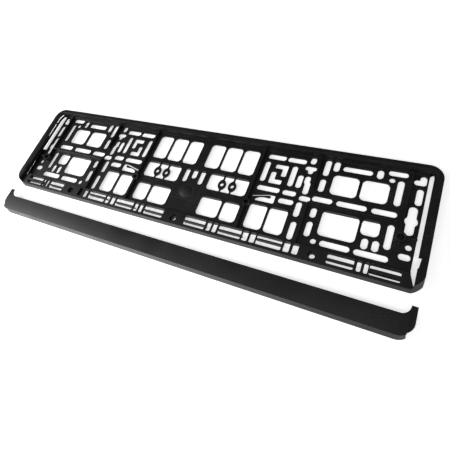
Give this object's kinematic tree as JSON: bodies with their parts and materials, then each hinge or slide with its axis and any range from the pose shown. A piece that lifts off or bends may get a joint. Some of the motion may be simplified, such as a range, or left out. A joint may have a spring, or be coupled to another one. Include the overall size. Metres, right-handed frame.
{
  "type": "number plate holder",
  "caption": "Long flat plastic number plate holder: a slotted back panel with raised rims on three sides, and a separate clip-on strip for its lower edge.",
  "frame": {"origin": "the back end of the middle screw hole in the lower edge, on the plane of the holder's back", "axes": "+X along the plate, +Y up the plate, +Z out from the car towards the plate"},
  "size_m": [0.535, 0.178, 0.014],
  "materials": {
    "frame_plastic": "satin black",
    "strip_plastic": "satin black"
  },
  "bodies": {
    "root": {"base_frame": "frame_plastic", "clip_strip": "strip_plastic"}
  },
  "joints": []
}
